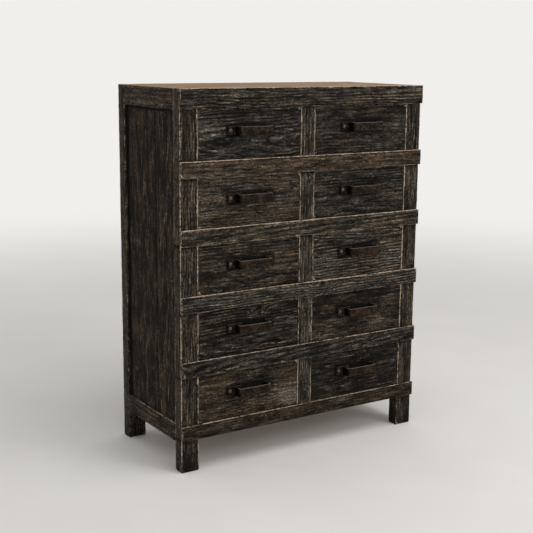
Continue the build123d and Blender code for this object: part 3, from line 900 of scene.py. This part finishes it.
class CHEST_OT_sides(bpy.types.Operator):
    """Side rails, and the set-back side panels of two upright planks"""
    bl_idname = "chest.sides"
    bl_label = "Sides"

    front_plank: length("Front plank", "Width of the front plank that shows", 130 * MM)
    thickness: length("Panel thickness", "Thickness of the side panels", 14 * MM)
    rail_depth: length("Rail thickness", "Thickness of the side rails", 30 * MM)
    bottom_rail: length("Bottom rail", "Height of the bottom side rails", 60 * MM)
    top_rail: length("Top rail", "Height of the top side rails", 65 * MM)

    def execute(self, context):
        panel_low, panel_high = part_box("side_panels")
        rail_low, rail_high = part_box("side_rails")
        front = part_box("post_front_left")[1].y
        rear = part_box("post_rear_left")[0].y
        seams = [panel_low.y, front + self.front_plank, panel_high.y]
        panels = []
        rails = []
        for side, sign in zip(SIDES, (-1, 1)):
            outer = sorted((sign * panel_high.x, sign * (panel_high.x - self.thickness)))
            low = Vector((outer[0], panel_low.y, panel_low.z))
            high = Vector((outer[1], panel_high.y, panel_high.z))
            panels += upright_planks(f"side_plank_{side}", LOOKS["side_plank"], low, high, seams, Y)
            outer = sorted((sign * rail_high.x, sign * (rail_high.x - self.rail_depth)))
            for place, bottom, top in (("bottom", rail_low.z, rail_low.z + self.bottom_rail),
                                       ("top", rail_high.z - self.top_rail, rail_high.z)):
                low = Vector((outer[0], front, bottom))
                high = Vector((outer[1], rear, top))
                rail = block(f"side_rail_{side}_{place}", low, high)
                weather(rail, low, high, Y, look=LOOKS["side_rail"],
                        softness={(Y, -1): 3.9, (Y, 1): 3.9, (Z, -1): 2.5, (Z, 1): 1.4})
                keep_inside(rail, low, high)
                rails.append(rail)
        open_low = Vector((0, front, rail_low.z + self.bottom_rail))
        open_high = Vector((0, rear, rail_high.z - self.top_rail))
        for plank in panels:
            # painted shade over the panels where they meet the posts and rails
            mark_nook(plank, open_low, open_high, PANEL_SHADE, 1.8)
        panel = join("worn_side_panels", panels)
        finish_piece(panel, CARCASS, "side_panels", "black_painted_wood", painted())
        rail = join("worn_side_rails", rails)
        finish_frame(rail, "side_rails")
        return {"FINISHED"}


class CHEST_OT_back(bpy.types.Operator):
    """Six upright back boards between the rear posts"""
    bl_idname = "chest.back"
    bl_label = "Back boards"

    boards: bpy.props.IntProperty(name="Boards", description="Number of back boards", default=6, min=1)

    def execute(self, context):
        low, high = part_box("back_boards")
        left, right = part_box("post_rear_left")[1].x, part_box("post_rear_right")[0].x
        seams = [left + (right - left) * number / self.boards for number in range(self.boards + 1)]
        planks = upright_planks("back_board", LOOKS["back_board"], low, high, seams, X)
        board = join("worn_back_boards", planks)
        finish_frame(board, "back_boards")
        return {"FINISHED"}


class CHEST_OT_rear_rails(bpy.types.Operator):
    """Two boards between the rear posts, in front of the back boards"""
    bl_idname = "chest.rear_rails"
    bl_label = "Rear rails"

    rail_height: length("Rail height", "Height of the rear rails", 60 * MM)

    def execute(self, context):
        node_low, node_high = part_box("rear_rails")
        left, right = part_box("post_rear_left")[1].x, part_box("post_rear_right")[0].x
        rails = []
        for place, bottom in (("bottom", node_low.z), ("top", node_high.z - self.rail_height)):
            low = Vector((left, node_low.y, bottom))
            high = Vector((right, node_high.y, bottom + self.rail_height))
            rail = block(f"rear_rail_{place}", low, high)
            weather(rail, low, high, X, softness=SHELTERED, chips=0.4, look=LOOKS["back_board"])
            rails.append(rail)
        rail = join("worn_rear_rails", rails)
        finish_frame(rail, "rear_rails")
        return {"FINISHED"}


class CHEST_OT_top(bpy.types.Operator):
    """Three boards inside the frame of the top, notched round the posts"""
    bl_idname = "chest.top"
    bl_label = "Top boards"

    boards: bpy.props.IntProperty(name="Boards", description="Number of top boards", default=3, min=1)

    def execute(self, context):
        low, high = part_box("top_boards")
        post_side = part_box("post_front_right")[0].x
        post_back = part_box("post_front_right")[1].y
        post_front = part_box("post_rear_right")[0].y
        pitch = (high.y - low.y + wear().seam) / self.boards
        planks = []
        for number in range(self.boards):
            start = low.y + number * pitch
            end = start + pitch - wear().seam
            board_low = Vector((low.x, start, low.z))
            board_high = Vector((high.x, end, high.z))
            notched = start < post_back or end > post_front
            reach = post_side if notched else high.x
            plank = block(f"top_board_{number}", (-reach, start, low.z), (reach, end, high.z))
            if notched:
                cut_at(plank, Y, [post_back if start < post_back else post_front])
                for sign in (-1, 1):
                    extrude(plank, lambda middle, normal: normal.x * sign > 0.5
                            and post_back < middle.y < post_front, (sign * (high.x - post_side), 0, 0))
            weather(plank, board_low, board_high, X, softness=SHELTERED, chips=0.4, look=LOOKS["top_board"])
            keep_inside(plank, board_low, board_high)
            planks.append(plank)
        board = join("weathered_top_boards", planks)
        finish_piece(board, CARCASS, "top_boards", "weathered_top_wood", top_finish())
        return {"FINISHED"}


# Only the top arris of a drawer front is worn.
DRAWER_EDGES = {**{edge: SHELTER - 1 for edge in SHELTERED}, (Z, 1): 1.6}


def mark_pull_shadow(front, low, high):
    """Writes how near each point of a drawer front lies to its pull, where a shadow is painted round it."""
    values = []
    for vertex in front.data.vertices:
        beside = max(0.0, low.x - vertex.co.x, vertex.co.x - high.x)
        above = max(0.0, low.z - vertex.co.z, vertex.co.z - high.z)
        values.append(max(0.0, 1 - math.hypot(beside, above) / PULL_SHADOW))
    write_marks(front, "soot", values)


def mark_pale(front, low, high, spots):
    """Writes how pale each point of a drawer front is rubbed, most of all where two spots meet."""
    values = []
    for vertex in front.data.vertices:
        value = 0.0
        for across, up in spots:
            off_x = vertex.co.x - low.x - across * (high.x - low.x)
            off_z = vertex.co.z - low.z - up * (high.z - low.z)
            value += max(0.0, 1 - math.hypot(off_x / PALE_LENGTH, off_z / PALE_HEIGHT))
        values.append(value)
    write_marks(front, "pale", values)


def cut_sockets(front, box):
    """Cuts the sockets of the tails by the box itself, whose loose triangles are merged first."""
    cutter = box.copy()
    cutter.data = box.data.copy()
    bpy.context.collection.objects.link(cutter)
    edit_all(cutter, bpy.ops.mesh.remove_doubles, threshold=MM / 100)
    apply(front, "BOOLEAN", operation="DIFFERENCE", object=cutter, solver="EXACT")
    bpy.data.objects.remove(cutter)


class CHEST_OT_drawer_fronts(bpy.types.Operator):
    """Ten thick drawer fronts, painted outside and bare inside, with the sockets of their dovetails"""
    bl_idname = "chest.drawer_fronts"
    bl_label = "Drawer fronts"

    def execute(self, context):
        for drawer in DRAWERS:
            node = f"{drawer}_front"
            low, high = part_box(node)
            front = block(f"worn_{node}", low, high)
            weather(front, low, high, X, softness=DRAWER_EDGES, chips=0.4, look=LOOKS[drawer])
            # a painted shadow round the pull
            mark_pull_shadow(front, *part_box(f"{drawer}_pull"))
            mark_pale(front, low, high, PALE_SPOTS.get(drawer, ()))
            cut_sockets(front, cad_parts[f"{drawer}_box"])
            inside = material_for("planed_pine_across")
            finish_piece(front, drawer, node, "black_painted_wood", painted(), inside)
            repaint(front, 1, lambda middle, normal: normal.y > 0.3)
        return {"FINISHED"}


# How far nail heads are rubbed, and how far out along its foot each nail stands.
NAIL_RUBBED = 0.65
NAIL_PLACE = 0.62


def mark_iron(piece, is_nail, low, high, foot_face):
    """Writes how far each point of a pull is rubbed by hands, and how near its edges are.

    The feet and the grip are rubbed; the legs between them stay black, as unrubbed scale and painted shade.
    """
    rubbed = []
    arris = []
    for vertex in piece.data.vertices:
        out = foot_face - vertex.co.y
        if is_nail:
            rubbed.append(NAIL_RUBBED)
            arris.append(max(0.0, 1.6 * MM - out))
            continue
        depth = out / (foot_face - low.y)
        # the legs stay unrubbed and black: scale, and partly painted shade
        rubbed.append(min(1.0, max(1.1 - 5 * depth, (depth - 0.3) / 0.6, 0.0)))
        # the top edge counts nearer than the bottom one, so it is paler: partly wear, partly a painted
        # highlight
        edge = min(vertex.co.z - low.z + 1.2 * MM, high.z - vertex.co.z)
        arris.append(edge + (1.2 * MM if depth < 0.1 else 0.0))
    write_marks(piece, "rubbed", rubbed)
    write_marks(piece, "arris", arris)


def bent_bar(name, low, high, face):
    """A flat bar bent foot, leg, grip, leg, foot from the face of a drawer front, and hammered."""
    pull = bpy.context.scene.chest_pull
    thick = pull.thickness
    middle = (low.x + high.x) / 2
    leg = middle - low.x - pull.foot
    inner = leg - thick
    deep = face - low.y - 2 * thick
    bar = block(name, (low.x, face - thick, low.z), (middle - leg, face, high.z))
    for test, shift in (
            (lambda place, normal: normal.x > 0.5, (thick, 0, 0)),
            (lambda place, normal: normal.y < -0.5 and place.x > middle - leg, (0, -deep, 0)),
            (lambda place, normal: normal.y < -0.5 and place.x > middle - leg, (0, -thick, 0)),
            (lambda place, normal: normal.x > 0.5 and place.y < low.y + thick, (2 * inner, 0, 0)),
            (lambda place, normal: normal.x > 0.5 and place.x > middle, (thick, 0, 0)),
            (lambda place, normal: normal.y > 0.5 and place.x > middle + inner, (0, deep, 0)),
            (lambda place, normal: normal.y > 0.5 and place.x > middle + inner, (0, thick, 0)),
            (lambda place, normal: normal.x > 0.5 and place.y > face - thick, (pull.foot, 0, 0))):
        extrude(bar, test, shift)

    def stands_at(a, b, x, y):
        """Whether an edge stands at a bend, on the left or the right."""
        near = all(abs(abs(end.x - middle) - x) < MM / 10 and abs(end.y - y) < MM / 10 for end in (a, b))
        return near and abs(a.z - b.z) > MM

    convex = ((inner, face), (leg, low.y))
    hollow = ((leg, face - thick), (inner, low.y + thick))
    for bends, radius in ((convex, pull.bend + thick), (hollow, pull.bend)):
        bevel_edges(bar, lambda a, b: any(stands_at(a, b, *bend) for bend in bends), radius, 6)
    for axis in (Z, X, Y):
        slice_along(bar, axis, 5 * MM)
    round_edges(bar, 0.7 * MM)
    edit_all(bar, bpy.ops.mesh.dissolve_degenerate, threshold=MM / 20)
    dent(bar, "hammered", 9 * MM, 0.7 * MM)
    return bar


def nail_head(low, high, face, sign):
    """A forged nail head on the left or right foot of a pull, sunk a little into the bar."""
    pull = bpy.context.scene.chest_pull
    middle = (low.x + high.x) / 2
    leg = middle - low.x - pull.foot
    sunk = 0.3 * MM
    bpy.ops.object.select_all(action="DESELECT")
    bpy.ops.mesh.primitive_uv_sphere_add(
        segments=14, ring_count=8, radius=1, rotation=(math.pi / 2, 0, 0),
        location=(middle + sign * (leg + NAIL_PLACE * pull.foot), face - pull.thickness + sunk,
                  (low.z + high.z) / 2),
        scale=(pull.nail_radius, pull.nail_radius, pull.nail_height))
    nail = bpy.context.active_object
    bpy.ops.object.transform_apply(location=True, rotation=True, scale=True)
    dent(nail, "nail_head", 3 * MM, 0.6 * MM, mid_level=0.8)
    return nail


class CHEST_OT_pulls(bpy.types.Operator):
    """Ten pulls of flat iron bar, bent foot, leg, grip, leg, foot, each with two forged nails"""
    bl_idname = "chest.pulls"
    bl_label = "Pulls"

    def execute(self, context):
        for drawer in DRAWERS:
            node = f"{drawer}_pull"
            low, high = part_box(node)
            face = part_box(f"{drawer}_front")[0].y
            bar = bent_bar(f"forged_{node}", low, high, face)
            nails = [nail_head(low, high, face, sign) for sign in (-1, 1)]
            for iron in (bar, *nails):
                keep_inside(iron, low, (high.x, face, high.z))
                mark_iron(iron, iron in nails, low, high, face - context.scene.chest_pull.thickness)
            bar = join(f"forged_{node}", [bar, *nails])
            pick(bar)
            bpy.ops.object.shade_smooth_by_angle(angle=math.radians(40))
            finish_piece(bar, drawer, node, "forged_iron", material_for("forged_iron_with_rust"))
        return {"FINISHED"}


class CHEST_OT_inside(bpy.types.Operator):
    """Gives the parts inside the chest their bare wood"""
    bl_idname = "chest.inside"
    bl_label = "Inside"

    def execute(self, context):
        finishes = {
            "centre_partition": "planed_pine_along",
            "bottom_boards": "planed_pine_across",
            "drawer_runners": "planed_pine_along",
            "drawer_guides": "planed_pine_along",
        }
        for drawer in DRAWERS:
            finishes[f"{drawer}_box"] = "planed_pine_along"
            finishes[f"{drawer}_bottom"] = "planed_pine_across"
        for node, finish in finishes.items():
            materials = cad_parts[node].data.materials
            materials.clear()
            materials.append(material_for(finish))
        return {"FINISHED"}


# ------------------------------------------------------------------------------ stage
class CHEST_OT_stage(bpy.types.Operator):
    """Pale floor, soft lights and the camera of the photograph"""
    bl_idname = "chest.stage"
    bl_label = "Stage"

    def execute(self, context):
        scene = context.scene
        scene.view_settings.view_transform = "Standard"
        bpy.ops.object.select_all(action="DESELECT")
        bpy.ops.mesh.primitive_circle_add(vertices=96, radius=40, fill_type="NGON", location=(0, 0, 0))
        floor = context.active_object
        floor.name = "floor"
        floor.data.materials.append(pale_floor())
        make_world(scene)
        for name, place, aim, size, power in LIGHTS:
            light = bpy.data.lights.new(name, "AREA")
            light.shape = "SQUARE"
            light.size = size
            light.energy = power
            lamp = bpy.data.objects.new(name, light)
            lamp.location = place
            lamp.rotation_euler = (Vector(aim) - Vector(place)).to_track_quat("-Z", "Y").to_euler()
            context.collection.objects.link(lamp)
        make_camera(scene)
        return {"FINISHED"}


# Each lamp's name, its place and aim, the side of its square in metres and its power in watts.
LIGHTS = (
    ("overhead", (0.4, -1.4, 3.4), (0.0, 0.0, 0.4), 2.0, 40),
    ("front_right", (1.6, -3.6, 2.3), (0.0, 0.0, 0.7), 1.6, 42),
)
AMBIENT = 0.70
FLOOR = "#d9d6d1"
BACKGROUND = "#f1efec"

# The camera's place in metres, its turns and its lens in millimetres, fitted to the chest's corners.
CAMERA_PLACE = (-1.9704, -3.0034, 1.3116)
CAMERA_YAW = math.radians(32.853)
CAMERA_PITCH = math.radians(11.4185)
CAMERA_ROLL = math.radians(0.5114)
CAMERA_LENS = 72.36


def pale_floor():
    """Matt pale vinyl that fades into the backdrop away from the chest."""
    material, tree, shader = new_material("pale_matt_floor")
    output = tree.nodes["Material Output"]
    shader.inputs["Roughness"].default_value = 0.9
    place = add_node(tree, "ShaderNodeTexCoord").outputs["Object"]
    far = add_node(tree, "ShaderNodeVectorMath", {0: place}, operation="LENGTH").outputs["Value"]
    speckle = noise(tree, place, 3.0).outputs[0]
    tint = mix(tree, ramp(tree, speckle, 0.3, 0.7, 0.0, 0.1), opaque(linear(FLOOR)),
               opaque(linear(BACKGROUND)))
    tree.links.new(tint, shader.inputs["Base Color"])
    glow = add_node(tree, "ShaderNodeEmission", {"Color": opaque(linear(BACKGROUND))}).outputs[0]
    seen = add_node(tree, "ShaderNodeLightPath").outputs["Is Camera Ray"]
    fade = times(tree, ramp(tree, far, 1.6, 5.5), seen)
    blend = add_node(tree, "ShaderNodeMixShader", {0: fade, 1: shader.outputs[0], 2: glow}).outputs[0]
    tree.links.new(blend, output.inputs["Surface"])
    return material


def make_world(scene):
    """Even light all round, seen as a near-white backdrop."""
    world = bpy.data.worlds.new("soft_room")
    world.use_nodes = True
    tree = world.node_tree
    tree.nodes.clear()
    light = add_node(tree, "ShaderNodeBackground", {"Color": (1, 1, 1, 1), "Strength": AMBIENT}).outputs[0]
    shown = add_node(tree, "ShaderNodeBackground", {"Color": opaque(linear(BACKGROUND))}).outputs[0]
    path = add_node(tree, "ShaderNodeLightPath")
    seen = maths(tree, "ADD", path.outputs["Is Camera Ray"], path.outputs["Is Transmission Ray"], True)
    blend = add_node(tree, "ShaderNodeMixShader", {0: seen, 1: light, 2: shown}).outputs[0]
    add_node(tree, "ShaderNodeOutputWorld", {"Surface": blend})
    scene.world = world


def make_camera(scene):
    """The photograph's camera, worked out from the chest's corners in it."""
    data = bpy.data.cameras.new("camera")
    data.lens = CAMERA_LENS
    data.sensor_width = 36
    camera = bpy.data.objects.new("camera", data)
    scene.collection.objects.link(camera)
    right = Vector((math.cos(CAMERA_YAW), -math.sin(CAMERA_YAW), 0))
    ahead = Vector((math.sin(CAMERA_YAW) * math.cos(CAMERA_PITCH),
                    math.cos(CAMERA_YAW) * math.cos(CAMERA_PITCH), -math.sin(CAMERA_PITCH)))
    up = right.cross(ahead)
    rolled_right = right * math.cos(CAMERA_ROLL) + up * math.sin(CAMERA_ROLL)
    rolled_up = up * math.cos(CAMERA_ROLL) - right * math.sin(CAMERA_ROLL)
    turn = Matrix((rolled_right, rolled_up, -ahead)).transposed()
    camera.matrix_world = Matrix.Translation(CAMERA_PLACE) @ turn.to_4x4()
    scene.camera = camera


# ------------------------------------------------------------------------------ add-on
class CHEST_PT_panel(bpy.types.Panel):
    """Lists the pieces of the chest"""
    bl_label = "Seed storage chest"
    bl_idname = "CHEST_PT_panel"
    bl_space_type = "VIEW_3D"
    bl_region_type = "UI"
    bl_category = "Chest"

    def draw(self, context):
        for group in (context.scene.chest_wear, context.scene.chest_pull, context.scene.chest_colours):
            for setting in group.__annotations__:
                self.layout.prop(group, setting)
        for operator in OPERATORS:
            self.layout.operator(operator.bl_idname)


GROUPS = {"chest_wear": ChestWear, "chest_pull": ChestPull, "chest_colours": ChestColours}
OPERATORS = (
    CHEST_OT_posts,
    CHEST_OT_front_rails,
    CHEST_OT_stile,
    CHEST_OT_sides,
    CHEST_OT_back,
    CHEST_OT_rear_rails,
    CHEST_OT_top,
    CHEST_OT_drawer_fronts,
    CHEST_OT_pulls,
    CHEST_OT_inside,
    CHEST_OT_stage,
)


def register():
    for cls in (*GROUPS.values(), *OPERATORS, CHEST_PT_panel):
        bpy.utils.register_class(cls)
    for name, group in GROUPS.items():
        setattr(bpy.types.Scene, name, bpy.props.PointerProperty(type=group))


def unregister():
    for name in GROUPS:
        delattr(bpy.types.Scene, name)
    for cls in (CHEST_PT_panel, *reversed(OPERATORS), *reversed(GROUPS.values())):
        bpy.utils.unregister_class(cls)


def main():
    register()
    for operator in OPERATORS:
        group, name = operator.bl_idname.split(".")
        getattr(getattr(bpy.ops, group), name)()


if __name__ == "__main__":
    main()
